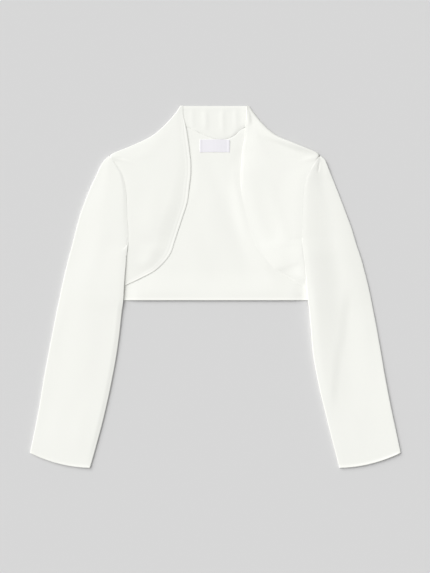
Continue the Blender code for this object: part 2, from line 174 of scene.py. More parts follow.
def thicken(piece, thickness, group=""):
    # a wall to both sides of the sheet, with rounded edges; group says where it is thinner
    wall = piece.modifiers.new("wall", "SOLIDIFY")
    wall.thickness = thickness * mm
    wall.offset = 0.0
    wall.vertex_group = group
    wall.use_quality_normals = bool(group)
    rounding = piece.modifiers.new("rounding", "SUBSURF")
    rounding.levels = rounding.render_levels = 1
    deselectAll()
    piece.select_set(True)
    bpy.context.view_layer.objects.active = piece
    for modifier in list(piece.modifiers):
        bpy.ops.object.modifier_apply(modifier=modifier.name)
    piece.data.shade_smooth()
    print(piece.name, len(piece.data.polygons) * 2, "triangles")


def clothPiece(name, rowsAt, columnsAt, place, closed=False):
    # place gives x, y, z of the wall's middle and the wall's thickness, all in mm
    deselectAll()
    rows, columns = len(rowsAt) - 1, len(columnsAt) - 1
    bpy.ops.mesh.primitive_grid_add(x_subdivisions=columns, y_subdivisions=rows, size=2)
    piece = bpy.context.object
    piece.name = piece.data.name = name
    flat = np.empty(len(piece.data.vertices) * 3)
    piece.data.vertices.foreach_get("co", flat)
    flat = flat.reshape(-1, 3)
    i = np.rint((flat[:, 1] + 1) / 2 * rows).astype(int)
    j = np.rint((flat[:, 0] + 1) / 2 * columns).astype(int)
    x, y, z, thickness = place(np.asarray(rowsAt)[i], np.asarray(columnsAt)[j])
    piece.data.vertices.foreach_set("co", (np.stack([x, y, z], 1) * mm).ravel())
    wallGroup = piece.vertex_groups.new(name="wall")
    shares = np.round(thickness / cloth["edge"], 2)
    for share in np.unique(shares):
        members = np.nonzero(shares == share)[0].tolist()
        wallGroup.add(members, float(share), "REPLACE")
    if closed:
        bpy.ops.object.mode_set(mode="EDIT")
        bpy.ops.mesh.select_all(action="SELECT")
        bpy.ops.mesh.remove_doubles(threshold=cloth["weld"] * mm)
        bpy.ops.object.mode_set(mode="OBJECT")
    thicken(piece, cloth["edge"], wallGroup.name)
    return piece


# Down each front, from the collar's corner to the side seam at the hem. outer is the shoulder's
# fold, then the armhole seam, then the side seam; edge is the free edge; turn is 1 where the
# outer line turns over and 0 where the sleeve is sewn or lies on it.
frontColumns = ("outerX", "outerY", "edgeX", "edgeY", "turn")
frontRight = {
    "columns": frontColumns,
    "side": -1,
    "rows": (
        (67.5, 352.4, 62.8, 353.3, 1.0),
        (78.2, 339.0, 62.8, 338.0, 1.0),
        (97.1, 317.4, 57.8, 317.0, 1.0),
        (126.4, 293.0, 53.2, 291.0, 1.0),
        (165.0, 274.8, 50.0, 267.0, 1.0),
        (205.6, 255.8, 47.2, 240.0, 1.0),
        (195.6, 243.2, 47.2, 222.0, 0.0),
        (180.8, 219.6, 49.6, 200.0, 0.0),
        (172.3, 180.0, 53.6, 167.0, 0.0),
        (170.9, 145.0, 62.2, 139.0, 0.0),
        (168.9, 110.0, 71.2, 111.5, 0.0),
        (168.7, 95.0, 78.0, 90.5, 0.0),
        (168.9, 81.0, 85.8, 66.8, 0.0),
        (189.0, 69.0, 97.0, 50.5, 0.0),
        (210.0, 55.0, 116.8, 31.7, 0.0),
        (210.0, 27.0, 145.8, 16.2, 1.0),
        (210.0, 0.0, 180.6, -0.8, 1.0),
        (210.0, -22.4, 202.0, -20.5, 1.0),
    ),
    "shoulderHeight": (3.9, 4.0, 4.3, 4.6, 4.6, 4.8, 5.8, 6.5),  # at the first stations
    # How the cloth rises from the free edge: y, height at the edge and inside, over what distance
    "puff": {
        "y": (-20, 20, 70, 130, 190, 240, 290, 353),
        "edgeTop": (2.5, 2.5, 2.5, 2.5, 2.5, 2.5, 2.6, 2.7),
        "insideTop": (2.8, 2.9, 3.4, 4.7, 3.6, 3.2, 3.1, 3.0),
        "reach": (24, 34, 36, 42, 34, 26, 22, 12),
    },
    "shoulderTop": 2.9,  # no station of the shoulder is higher
    "shoulderReach": 20,
    "trim": 1.3,  # how far the shoulder's fold is drawn in
    # how wide the shoulder turns over, from the collar out, and then the side seam
    "roll": (0.8, 0.9, 1.1, 1.3, 1.4, 1.3, 1.2),
    "seamDepth": 0.12,
    "edgeWall": 1.4,
    "lip": 0.16,
    "stitched": 1,  # 1 or 0: whether the groove and the step show
    # x0, y0, x1, y1, width, height, bend
    "creases": (
        (121, 84, 134, 36, 19, 1.1, 0),
        (120, 262, 196, 236, 10, 0.2, 2),
        (96, 300, 150, 250, 12, 0.2, -3),
        (116, 200, 122, 90, 16, 0.3, 4),
    ),
    "steps": (),
    "seed": 0.7,
}
frontLeft = {
    "columns": frontColumns,
    "side": 1,
    "rows": (
        (66.6, 352.4, 62.0, 353.0, 1.0),
        (74.3, 341.0, 61.8, 338.0, 1.0),
        (93.2, 317.6, 60.2, 314.0, 1.0),
        (119.9, 294.8, 57.6, 290.0, 1.0),
        (163.0, 276.4, 53.6, 266.0, 1.0),
        (204.2, 256.4, 51.6, 240.0, 1.0),
        (194.2, 243.2, 50.6, 222.0, 0.0),
        (179.8, 219.6, 50.6, 202.0, 0.0),
        (172.0, 180.0, 54.4, 170.0, 0.0),
        (170.9, 145.0, 60.2, 141.0, 0.0),
        (168.9, 110.0, 69.2, 110.0, 0.0),
        (168.7, 95.0, 76.0, 91.0, 0.0),
        (168.9, 81.0, 84.6, 72.5, 0.0),
        (189.0, 69.0, 97.4, 55.0, 0.0),
        (210.0, 55.0, 116.5, 34.5, 0.0),
        (210.0, 27.0, 145.0, 14.8, 1.0),
        (210.0, 0.0, 182.0, -8.5, 1.0),
        (210.0, -22.4, 202.0, -20.5, 1.0),
    ),
    "shoulderHeight": (2.6, 2.8, 3.9, 5.7, 7.4, 5.7, 5.8, 6.5),
    "puff": {
        "y": (-20, 10, 40, 70, 110, 190, 240, 290, 310, 330, 353),
        "edgeTop": (1.9, 1.9, 1.9, 1.9, 1.9, 1.9, 1.9, 2.0, 2.7, 3.4, 3.6),
        "insideTop": (2.7, 3.2, 4.8, 6.2, 5.6, 4.8, 4.4, 4.1, 3.6, 3.0, 2.8),
        "reach": (10, 16, 28, 52, 70, 66, 56, 30, 20, 12, 9),
    },
    "shoulderTop": 7.4,
    "shoulderReach": 28,
    "trim": 0.0,
    "roll": (2.0, 5.0, 6.0, 6.0, 5.0, 4.0, 1.4),
    "seamDepth": 0.0,
    "edgeWall": 0.6,
    "lip": 0,
    "stitched": 0,
    "creases": (
        (114, 33, 162, 8, 4.5, -0.6, 0),
        (150, 10, 180, -7, 3.5, 0.6, 0),
    ),
    # pushed up a little below the armhole, folded down towards the hem, and falling outward
    # at the collar
    "steps": (
        (166, 92, 92, 84, 6, 0.3, 0),
        (112, 27, 164, 46, 5, 0.8, 0),
        (66.5, 354, 69.5, 318, 3.5, -1.4, 0),
    ),
    "seed": 2.4,
}
frontShape = {
    "rowsPerStation": 6,
    "shoulderEnds": 5,  # station where the shoulder ends
    "sleeveBegins": 11,  # station from which the front runs under the sleeve
    "rollStations": (0, 1, 2, 3, 4, 5, 8),
    "trimDirection": (0.57, 0.82),
    "edgeDistances": (0, 0.35, 0.9, 1.6, 2.4, 3.2, 4.2, 5.4, 7, 8.6, 9.6, 10.6, 13, 17, 23),
    "edgeReach": 60,  # rows narrower than this squeeze the edge distances together
    "middleColumns": 30,
    "outerColumns": 9,
    "armholeReach": 56,
    "outerShare": 0.6,  # of the width, at most, is shaped by the outer line
    "foldReach": 40,
    "foldFromEdge": 30,
    "dipsUnderFold": (2.6, 6.0),  # from and to, beyond the fold's line
    "sewnAround": (-6, 14),  # from and to, above the top of the sleeve's fold
    "lip": (2.0, 1.8),  # distance from the edge, half width
    "groove": (-0.1, 5.2, 1.2),  # height, distance from the edge, half width
    "step": (0.12, 8.8, 10.6),  # height, from, to: the end of the turned-in cloth
    "turnedIn": (2.4, 6.6),  # the wall thins out from and to
    "detailLength": 40,  # rows narrower than this have weaker details
    "seamWidth": 2.6,  # half width of the valley along the armhole
    "seamLapAt": (0.2, 1.6),  # from and to, where the edge dives under the sleeve
    "gather": 0.06,
    "gatherReach": 7,
    "unevenness": 0.35,
    # over what distance from the free edge and from the outer line, and the full row's width
    "looseReach": (14, 16, 60),
    "creaseReach": (5, 8, 30),
    "followsBack": (10, 70),  # from the free edge it follows the back's own shape, and no more
}

# Down each sleeve. inner is the armhole seam and then the fold, outer the outside fold, and under
# is how far the lower layer's inner line lies from the upper one's.
sleeveTable = {
    "columns": (
        "innerY", "rightInner", "leftInner", "outerY", "rightOuter", "leftOuter", "under",
    ),
    "rows": (
        (251.0, 202.2, 200.6, 255.0, 207.4, 206.0, 0.5),
        (243.0, 196.2, 194.8, 246.2, 216.6, 214.9, 0.8),
        (232.6, 189.0, 187.8, 234.5, 224.4, 219.8, 1.0),
        (219.4, 181.3, 180.3, 219.0, 231.6, 226.0, 1.5),
        (199.0, 175.5, 175.0, 203.0, 239.2, 232.5, 2.2),
        (180.0, 172.8, 172.5, 181.0, 248.8, 241.1, 3.6),
        (145.0, 171.4, 171.4, 144.0, 262.6, 255.2, 5.0),
        (110.0, 169.4, 169.4, 110.0, 272.2, 267.6, 10.5),
        (95.0, 169.2, 169.2, 94.0, 276.2, 272.2, 15.0),
        (81.0, 169.6, 169.6, 80.0, 279.6, 276.4, 21.4),
        (55.0, 172.5, 172.8, 54.0, 286.8, 285.2, 38.4),
        (3.4, 176.7, 178.0, 3.0, 298.8, 298.4, 34.4),
        (-25.5, 178.2, 180.6, -25.5, 304.8, 304.6, 31.6),
        (-48.0, 181.3, 183.4, -46.0, 309.2, 308.5, 30.0),
        (-80.0, 184.7, 186.2, -78.0, 315.4, 314.8, 30.0),
        (-130.0, 191.4, 190.8, -126.0, 324.8, 323.3, 30.0),
        (-188.0, 202.0, 201.2, -180.0, 334.8, 332.5, 30.0),
        (-245.0, 214.4, 214.8, -234.0, 343.6, 343.0, 28.0),
        (-301.0, 228.8, 228.8, -283.0, 353.2, 353.4, 26.0),
        (-352.8, 243.4, 242.4, -323.5, 361.6, 362.0, 24.0),
    ),
    # once round: the lower layer's inner end, the fold, the top, the outer fold, the lower layer
    "ringEnds": (0.0, 2.0, 6.0, 14.0, 18.0, 22.0),
    # where on the ring the cloth begins: the sleeve is open down to the first of these stations
    "startStations": (8, 9, 10),
    "starts": (6.0, 2.0, 0.0),
}
body = {
    "hemY": -26.5,
    "collarTopY": 352.2,
    "sideSeamX": 210.0,
    "backTuck": 3.0,
    "collarTuck": 4.4,
    "underarmY": 56.0,
    "foldTopY": 81.0,
    "foldFades": 24.0,  # the seam passes into the loose fold over this much
    "shoulderStations": (4.7, 2.1, 14),  # from, to, how many
    "neckShownTo": 49.0,
    "neckShort": 1.5,  # it ends this far short of the shoulder line
    "neckPoints": 22,
    "neckX": (0, 8, 16, 26, 37, 49, 68, 90),
    "rightNeckY": (288.8, 291.6, 295.0, 299.2, 304.4, 310.6, 315.4, 314.6),
    "leftNeckY": (288.8, 288.2, 288.6, 290.6, 296.2, 308.0, 314.6, 313.6),
    # the back lifts in a low ridge under the left front's edge
    "ridgeY": (-4, 40, 90, 150, 220, 262),
    "ridgeX": (150, 122, 95, 76, 68, 66),
    "ridgeReach": (40, 46, 50, 50, 44, 20),
    "ridgeHeight": (0, 0.9, 1.6, 1.8, 1.4, 0),
    "hemCurl": (2.1, 60.0),  # how high the hem lifts, and from how far in
    "hemCurlEnds": (150, 176),
}


def bodyLift(x, y):
    # what the back panel does on the surface, and what lies on it follows
    middle, reach, height = readLines(body, ("ridgeX", "ridgeReach", "ridgeHeight"), y, "ridgeY")
    s = np.clip(np.abs(x - middle) / reach, 0, 1)
    curlHeight, curlReach = body["hemCurl"]
    curl = curlHeight * (1 - fade(0, curlReach, y - body["hemY"]))
    curl = curl * (1 - fade(*body["hemCurlEnds"], np.abs(x)))
    return height * (1 - s * s) ** 2 + curl


def innerLineX(side, y):
    # the sleeve's inner line, which runs on outward above its end
    rowsY = columnOf(sleeveTable, "innerY")[::-1]
    lineX = columnOf(sleeveTable, sideNames[side] + "Inner")[::-1]
    return smoothThrough(rowsY, lineX, y) + np.maximum(0, y - rowsY[-1])


def onArmhole(y):
    # 1 where the sleeve is sewn on, 0 where its fold lies loose
    return fade(body["foldTopY"], body["foldTopY"] + body["foldFades"], y)


def frontBesideSleeve(side, y):
    # heights before the sleeve's line and under it
    which = sideNames[side]
    return readLines(seamHeights, (which + "Top", which + "Under"), y)


def insideShare(reach, fromEdge, fromOuter, length):
    edgeReach, outerReach, fullLength = reach
    share = fade(0, edgeReach, fromEdge) * fade(0, outerReach, fromOuter)
    return share * np.minimum(1, length / fullLength)


def frontEdge(front, inEdge):
    # The turned-in edge: a thin lip, a groove inside it and the step where the turning ends
    lipAt, lipWidth = frontShape["lip"]
    grooveHeight, grooveAt, grooveWidth = frontShape["groove"]
    stepHeight, stepFrom, stepTo = frontShape["step"]
    stitching = grooveHeight * bell(inEdge - grooveAt, grooveWidth)
    stitching -= stepHeight * fade(stepFrom, stepTo, inEdge)
    return front["lip"] * bell(inEdge - lipAt, lipWidth) + front["stitched"] * stitching


def makeFront(name, front):
    side, shape = front["side"], frontShape
    edgeCount, middleCount = len(shape["edgeDistances"]), shape["middleColumns"]
    flatCount = edgeCount - 1 + middleCount
    lastStation = len(front["rows"]) - 1
    rowsAt = np.linspace(0, lastStation, shape["rowsPerStation"] * lastStation + 1)
    columnsAt = np.arange(flatCount + shape["outerColumns"] + 1)

    def place(at, column):
        outerX, outerY, edgeX, edgeY, turn = (readColumn(front, key, at) for key in frontColumns)
        trim = front["trim"] * turn * fade(0, 1, at)
        outerX = outerX - trim * shape["trimDirection"][0]
        outerY = outerY - trim * shape["trimDirection"][1]
        onSeam = (outerY > body["foldTopY"]) * (turn < 0.5)
        outerX = np.where(onSeam, innerLineX(side, outerY) + cloth["seamLap"], outerX)
        length = np.hypot(outerX - edgeX, outerY - edgeY)
        alongX, alongY = (outerX - edgeX) / length, (outerY - edgeY) / length

        # Heights along the outer line: the shoulder's own, and the armhole's shared with the sleeve
        seamTop, underTop = frontBesideSleeve(side, outerY)
        shoulder = front["shoulderHeight"]
        height = smoothThrough(np.arange(len(shoulder)), shoulder, at)
        onShoulder = at < shape["shoulderEnds"]
        height = np.where(onShoulder, np.minimum(height, front["shoulderTop"]), height)
        height = height + (seamTop - height) * (1 - turn)
        height = np.where(at < shape["sleeveBegins"], height, underTop)

        # The columns: crowded at the free edge, even over the middle, round the outer fold
        radius = height - cloth["wall"] / 2 - cloth["groundGap"]
        roll = smoothThrough(shape["rollStations"], front["roll"], at)
        foldWidth = turn * roll + (1 - turn) * radius
        flatLength = length - turn * cloth["wall"] / 2 - foldWidth
        squeeze = np.minimum(1, flatLength / shape["edgeReach"])
        nearEdge = np.interp(column, np.arange(edgeCount), shape["edgeDistances"]) * squeeze
        middleShare = np.clip((column - edgeCount + 1) / middleCount, 0, 1)
        quarter = np.clip((column - flatCount) / shape["outerColumns"], 0, 1)
        angle = quarter * math.pi / 2
        fromEdge = nearEdge + (flatLength - nearEdge) * middleShare
        fromEdge = fromEdge + foldWidth * (turn * np.sin(angle) + (1 - turn) * quarter)
        drop = turn * radius * (1 - np.cos(angle))
        fromOuter = length - fromEdge
        x = edgeX + alongX * fromEdge
        y = edgeY + alongY * fromEdge

        # The large form: up from the free edge, and to the outer line's height
        edgeTop, insideTop, reach = readLines(front["puff"], ("edgeTop", "insideTop", "reach"), y)
        top = edgeTop + (insideTop - edgeTop) * fade(0, reach, fromEdge)
        outerReach = front["shoulderReach"]
        outerReach = outerReach + (shape["armholeReach"] - outerReach) * (1 - turn)
        outerReach = np.minimum(outerReach, shape["outerShare"] * length)
        top += (height - top) * (1 - fade(0, outerReach, fromOuter - foldWidth * turn))

        # It keeps its height up to the sleeve's fold that lies on it, and dips only beyond its line
        before, under = frontBesideSleeve(side, y)
        foldHere = innerLineX(side, y)
        below = 1 - onArmhole(y)
        nearFold = below * fade(shape["foldReach"], 0, foldHere - x)
        top += (before - top) * nearFold * fade(0, shape["foldFromEdge"], fromEdge)
        dipFrom, dipTo = shape["dipsUnderFold"]
        underSleeve = fade(foldHere + dipFrom, foldHere + dipTo, x) * below
        top += (under - top) * underSleeve

        # Details: the edge, the loose cloth, the creases
        detail = np.minimum(1, length / shape["detailLength"])
        inEdge = fromEdge / squeeze
        top += detail * frontEdge(front, inEdge)
        inside = insideShare(shape["looseReach"], fromEdge, fromOuter, length) * (1 - underSleeve)
        top += inside * shape["unevenness"] * unevenness(x, y, front["seed"])
        inside = insideShare(shape["creaseReach"], fromEdge, fromOuter, length) * (1 - underSleeve)
        laid = creaseLift(x, y, front["creases"]) + stepLift(x, y, front["steps"])
        top += inside * laid

        # The armhole seam: a shallow valley, a little gathered, and the edge dives under the sleeve
        sewnFrom, sewnTo = (body["foldTopY"] + above for above in shape["sewnAround"])
        sewn = (1 - turn) * fade(sewnFrom, sewnTo, outerY)
        fromSeam = np.maximum(0, fromOuter - cloth["seamLap"])
        top -= sewn * front["seamDepth"] * bell(fromSeam, shape["seamWidth"])
        top -= sewn * cloth["lapDrop"] * (1 - fade(*shape["seamLapAt"], fromOuter))
        gathered = shape["gather"] * sewn * besideSeam(fromSeam, shape["gatherReach"])
        top += gathered * seamPucker(y, front["seed"])
        lift = bodyLift(side * x, y) * (1 - fade(*shape["followsBack"], fromEdge))
        turned = (1 - fade(*shape["turnedIn"], inEdge)) * detail
        thickness = cloth["wall"] + (front["edgeWall"] - cloth["wall"]) * turned
        return side * x, y, np.maximum(top + lift - drop, thickness) - thickness / 2, thickness

    return clothPiece(name, rowsAt, columnsAt, place)


sleeveShape = {
    # stations of the rows: from, to, how many; then those at the cuff's end
    "rowRuns": ((0, 8, 40), (8, 10, 12), (10, 18.6, 50)),
    "cuffRows": (18.6, 18.7, 18.8, 18.86, 18.91, 18.94, 18.965, 18.985, 19),
    "ringColumns": (4, 6, 40, 8, 15),  # in each part of the ring
    "crowding": 1.25,  # the columns over the top crowd towards the fold
    "openColumns": 50,  # all those that go over the top where the armhole is open
    "openCrowding": 1.5,
    "foldComes": 1.5,  # how fast the fold forms where the armhole closes
    "stackY": (-48, -28, 20, 60, 81, 110),
    "stepOut": (1.5, 13.0),
    "fullWidth": 95.0,  # narrower rows have their profile squeezed
    "peakRise": 9.0,  # from the seam to the highest line of the top
    "fallFrom": 9.0,
    "fallTo": 64.0,
    "fallSoftness": 0.15,
    "outerFall": (0.5, 1.05),  # from and to, as shares of the width
    "rollBegins": (-230, -30),  # up the sleeve
    "rollEnds": (250, 200),
    "rollPower": 2.2,
    "looseReach": (16, 14),  # from the inner line and from the outer fold
    "seamWidth": 2.6,
    "gather": 0.07,
    "gatherReach": 9.0,
    "capGather": (1.6, 170, 215),  # so much more at the top of the sleeve, from and to
    "tuckReach": 2.0,
    "unevenness": 0.35,
    "cuffRun": 50.0,  # mm between the last two stations
    "cuffLip": (0.9, 6.0),  # how high the cuff's end stands, and from how far in
    "cuffWall": (0.25, 4.0),
    "cuffBulge": 7.0,
    "cuffBulgeFrom": 0.75,
}
sleeveRight = {
    "side": -1,
    "seed": 1.3,
    "stackTop": (0, 3.0, 3.2, 4.1, 4.4, 4.4),  # back and front, under the fold
    "trim": 1.1,  # how far the outer fold is drawn in
    # Across the sleeve: the fold or seam, the highest line, the middle and the outer fold
    "over": {
        "y": (-352, -335, -290, -120, -50, -20, 20, 60, 81, 100, 180, 220, 243, 252),
        "foldTop": (3.0, 3.0, 3.1, 3.1, 3.5, 5.0, 5.6, 5.4, 5.0, 4.8, 4.4, 4.0, 3.8, 3.7),
        "ridgeTop": (3.1, 3.3, 3.9, 4.1, 4.5, 5.4, 5.8, 5.8, 5.2, 5.1, 4.9, 4.5, 4.1, 3.8),
        "middleTop": (3.2, 3.4, 4.0, 4.2, 4.7, 5.0, 5.1, 5.1, 5.1, 5.0, 4.8, 4.5, 4.1, 3.8),
        "outerTop": (3.1, 3.1, 3.3, 3.4, 3.6, 3.8, 3.8, 3.8, 3.8, 3.8, 3.7, 3.6, 3.5, 3.4),
    },
    # how far the top rolls down to the outer fold, and over what distance
    "roll": (0.0, 10.0),
    "seamDepth": 0.12,
    "creases": (
        (212, 120, 236, 20, 14, 0.2, 3),
        (236, -60, 262, -190, 18, 0.25, -4),
        (280, -30, 300, -160, 16, -0.2, 3),
        (250, -220, 270, -320, 14, 0.2, 3),
        (300, -210, 322, -300, 14, 0.15, -3),
    ),
    "steps": (),
    "tucks": (),
}
sleeveLeft = {
    "side": 1,
    "seed": 3.1,
    "stackTop": (0, 3.2, 3.8, 5.1, 5.6, 5.6),
    "trim": 0.0,
    "over": {
        "y": (-352, -335, -290, -200, -120, -60, -20, 20, 60, 81, 100, 180, 220, 243, 252),
        "foldTop": (3.0, 3.1, 3.7, 4.5, 5.4, 6.5, 7.5, 8.2, 8.4, 7.6, 6.9, 6.0, 5.3, 4.7, 4.7),
        "ridgeTop": (3.1, 3.2, 3.8, 4.7, 5.6, 6.8, 7.9, 8.6, 8.8, 7.9, 7.1, 6.2, 5.5, 4.9, 4.8),
        "middleTop": (3.0, 3.1, 3.2, 3.2, 3.4, 3.8, 4.2, 4.4, 4.4, 4.2, 4.0, 3.8, 3.7, 3.8, 3.8),
        "outerTop": (3.0, 3.1, 3.3, 3.6, 4.0, 4.7, 4.8, 4.8, 4.8, 4.8, 4.7, 4.5, 4.3, 4.0, 3.7),
    },
    "roll": (2.3, 44.0),
    "seamDepth": 0.0,
    "creases": (
        (282, 20, 300, -110, 14, 0.2, 3),
        (262, -230, 284, -320, 14, 0.2, 2),
        (300, -190, 326, -300, 15, -0.2, -3),
    ),
    # along the sleeve below the hem the cloth nearer the body lies higher
    "steps": ((257, -12, 246, -120, 10, -0.9, 0), (240, -118, 230, -225, 9, -0.9, 0)),
    # at the top of the armhole seam
    "tucks": ((203.5, 244, 200.5, 222, 2.0, -0.5, 0),),
}


def makeSleeve(name, sleeve):
    side, shape, ends = sleeve["side"], sleeveShape, sleeveTable["ringEnds"]
    which = sideNames[side]
    lastStation = len(sleeveTable["rows"]) - 1
    rowsAt = np.concatenate(
        [np.linspace(*run, endpoint=False) for run in shape["rowRuns"]] + [shape["cuffRows"]]
    )
    counts = shape["ringColumns"]
    overTop = np.arange(counts[2]) / counts[2]
    closedRing = np.concatenate([
        np.linspace(ends[0], ends[1], counts[0], endpoint=False),
        np.linspace(ends[1], ends[2], counts[1], endpoint=False),
        ends[2] + (ends[3] - ends[2]) * overTop ** shape["crowding"],
        np.linspace(ends[3], ends[4], counts[3], endpoint=False),
        np.linspace(ends[4], ends[5], counts[4]),
    ])
    overTop = np.minimum(np.arange(len(closedRing)) / shape["openColumns"], 1)
    overTop = ends[2] + (ends[3] - ends[2]) * overTop ** shape["openCrowding"]
    openRing = np.where(closedRing < ends[3], overTop, closedRing)

    def place(at, column):
        column = column.astype(int)
        innerX, innerY, outerX, outerY, under = (
            readColumn(sleeveTable, key, at)
            for key in (which + "Inner", "innerY", which + "Outer", "outerY", "under")
        )
        outerX = outerX - sleeve["trim"]
        width = np.hypot(outerX - innerX, outerY - innerY)
        foldTop, ridgeTop, middleTop, outerTop = readLines(
            sleeve["over"], ("foldTop", "ridgeTop", "middleTop", "outerTop"), innerY
        )
        isOpen = np.interp(at, sleeveTable["startStations"], sleeveTable["starts"]) / ends[2]
        ring = closedRing[column] + (openRing[column] - closedRing[column]) * isOpen

        # The two folds: an inner one on what lies under it, an outer one on the ground
        stack = smoothThrough(shape["stackY"], sleeve["stackTop"], innerY)
        wall = cloth["wall"]
        lowIn, highIn = stack + wall / 2, foldTop - wall / 2
        rollDrop, rollReach = sleeve["roll"]
        rollDrop = rollDrop * fade(*shape["rollBegins"], innerY) * fade(*shape["rollEnds"], innerY)
        lowOut, highOut = wall / 2, outerTop - rollDrop - wall / 2
        rIn, rOut = (highIn - lowIn) / 2, (highOut - lowOut) / 2
        wideIn, wideOut = rIn * cloth["crisp"], rOut * cloth["crisp"]
        foldIn = np.clip((1 - isOpen) * shape["foldComes"], 0, 1) * (wall / 2 + wideIn)
        foldOut = width - wall / 2 - wideOut
        part = np.searchsorted(ends, ring, side="right").clip(1, len(ends) - 1)
        partFrom, partTo = np.take(ends, part - 1), np.take(ends, part)
        share = (ring - partFrom) / (partTo - partFrom)
        parts = [part == k for k in (1, 2, 3, 4)]
        turnIn, turnOut = math.pi * (share - 0.5), math.pi * (0.5 - share)
        out = np.select(
            parts,
            [
                under + (foldIn - under) * share,
                foldIn - wideIn * np.cos(turnIn),
                foldIn + (foldOut - foldIn) * share,
                foldOut + wideOut * np.cos(turnOut),
            ],
            foldOut + (under - foldOut) * share,
        )
        x = innerX + (outerX - innerX) * out / width
        y = innerY + (outerY - innerY) * out / width
        climb = stack * (1 - fade(body["underarmY"], body["foldTopY"], innerY))
        climb *= 1 - fade(*shape["stepOut"], out - under)

        # Over the top: up from the seam, down from the ridge, then nearly level to the outer fold
        beyond, before = out - foldIn, foldOut - out
        narrow = np.minimum(1, width / shape["fullWidth"])
        top = foldTop + (ridgeTop - foldTop) * fade(0, shape["peakRise"] * narrow, beyond)
        fallen = (beyond / narrow - shape["fallFrom"]) / (shape["fallTo"] - shape["fallFrom"])
        softness = shape["fallSoftness"]
        fallen = (fade(0, 1, fallen) + fade(-softness, 1 + softness, fallen)) / 2
        top += (middleTop - ridgeTop) * fallen
        outerFall = fade(*shape["outerFall"], beyond / (foldOut - foldIn))
        top += (outerTop - middleTop) * outerFall / fade(*shape["outerFall"], 1)
        top -= rollDrop * np.clip(1 - before / rollReach, 0, 1) ** shape["rollPower"]
        fromInner, fromOuter = shape["looseReach"]
        inside = fade(0, fromInner, beyond) * fade(0, fromOuter, before) * narrow
        loose = creaseLift(x, y, sleeve["creases"]) + stepLift(x, y, sleeve["steps"])
        loose += shape["unevenness"] * unevenness(x, y, sleeve["seed"])
        top += inside * loose
        top += creaseLift(x, y, sleeve["tucks"]) * fade(0, shape["tuckReach"], beyond)

        # The armhole seam, gathered most at the top of the sleeve
        sewn = isOpen * onArmhole(innerY)
        top -= sewn * sleeve["seamDepth"] * bell(beyond, shape["seamWidth"])
        capMore, capFrom, capTo = shape["capGather"]
        gathered = shape["gather"] * (1 + capMore * fade(capFrom, capTo, innerY))
        gathered *= sewn * besideSeam(beyond, shape["gatherReach"])
        top += gathered * seamPucker(innerY, sleeve["seed"])

        # The cuff's end stands up a little, is a little thicker and runs in a bow
        fromEnd = (lastStation - at) * shape["cuffRun"]
        lipHeight, lipReach = shape["cuffLip"]
        top += lipHeight * narrow * (1 - fade(0, lipReach, fromEnd)) - wall / 2
        z = np.select(
            parts,
            [
                lowIn,
                (highIn + lowIn) / 2 + rIn * np.sin(turnIn),
                top,
                (highOut + lowOut) / 2 + rOut * np.sin(turnOut),
            ],
            wall / 2 + climb,
        )
        across = np.clip(out / width, 0, 1)
        bulge = 4 * across * (1 - across)
        bulge *= fade(shape["cuffBulgeFrom"] * lastStation, lastStation, at)
        thicker, thickReach = shape["cuffWall"]
        thickness = wall + thicker * (1 - fade(0, thickReach, fromEnd))
        return side * x, y - shape["cuffBulge"] * bulge, z, thickness

    return clothPiece(name, rowsAt, np.arange(len(closedRing)), place, closed=True)


def insetLine(x, y, distance):
    # a line moved to its left, as seen on the way along it
    dx, dy = np.gradient(x), np.gradient(y)
    length = np.hypot(dx, dy)
    return x - dy / length * distance, y + dx / length * distance


def shoulderLine(front):
    at = np.linspace(*body["shoulderStations"])
    x, y = readColumn(front, "outerX", at), readColumn(front, "outerY", at)
    x, y = insetLine(x, y, body["backTuck"])
    return front["side"] * x, y


def neckLine(front):
    end = abs(shoulderLine(front)[0][-1]) - body["neckShort"]
    at = np.linspace(0, body["neckX"][-1], body["neckPoints"])
    lineY = body[sideNames[front["side"]] + "NeckY"]
    shown = body["neckShownTo"]
    stretch = (end - shown) / (body["neckX"][-1] - shown)
    x = np.where(at < shown, at, shown + (at - shown) * stretch)
    return front["side"] * x, smoothThrough(body["neckX"], lineY, at)


backShape = {
    # rows up from the hem: the first ones, then from and to above the hem and under the underarm
    "hemRows": (0, 0.5, 1.1, 1.9, 3, 4.4, 6, 8, 10.5, 13.5),
    "seamRows": (17.5, 3.0),
    "rowSpacing": 4.2,
    "armholeStations": (10, 0.3, 56),  # of the sleeves' table: from, to, how many
    "armholeGap": 1.05,
    # It lies bare up to this far from the middle, and wider below y by a share of the way down
    "bareHalf": 52,
    "bareWidensBelow": 200,
    "bareWidens": 0.62,
    "bareFades": (0.62, 1.0),
    "looseFromHem": 22,
    "looseToNeck": (262, 290),
    "looseRest": 0.5,
    "unevenness": 0.35,
    "seed": 5.2,
    "hemWall": (1.6, 5.0),
    "creases": (
        (-19.5, 266, 72, -2, 15, -0.5, 6),
        (-16, 180, 10, 60, 20, 0.3, -5),
        (40, 215, 62, 96, 9, 0.4, -3),
        (-60, 120, -20, 0, 22, 0.3, 4),
        (84, 60, 120, -8, 12, 0.3, 3),
    ),
}


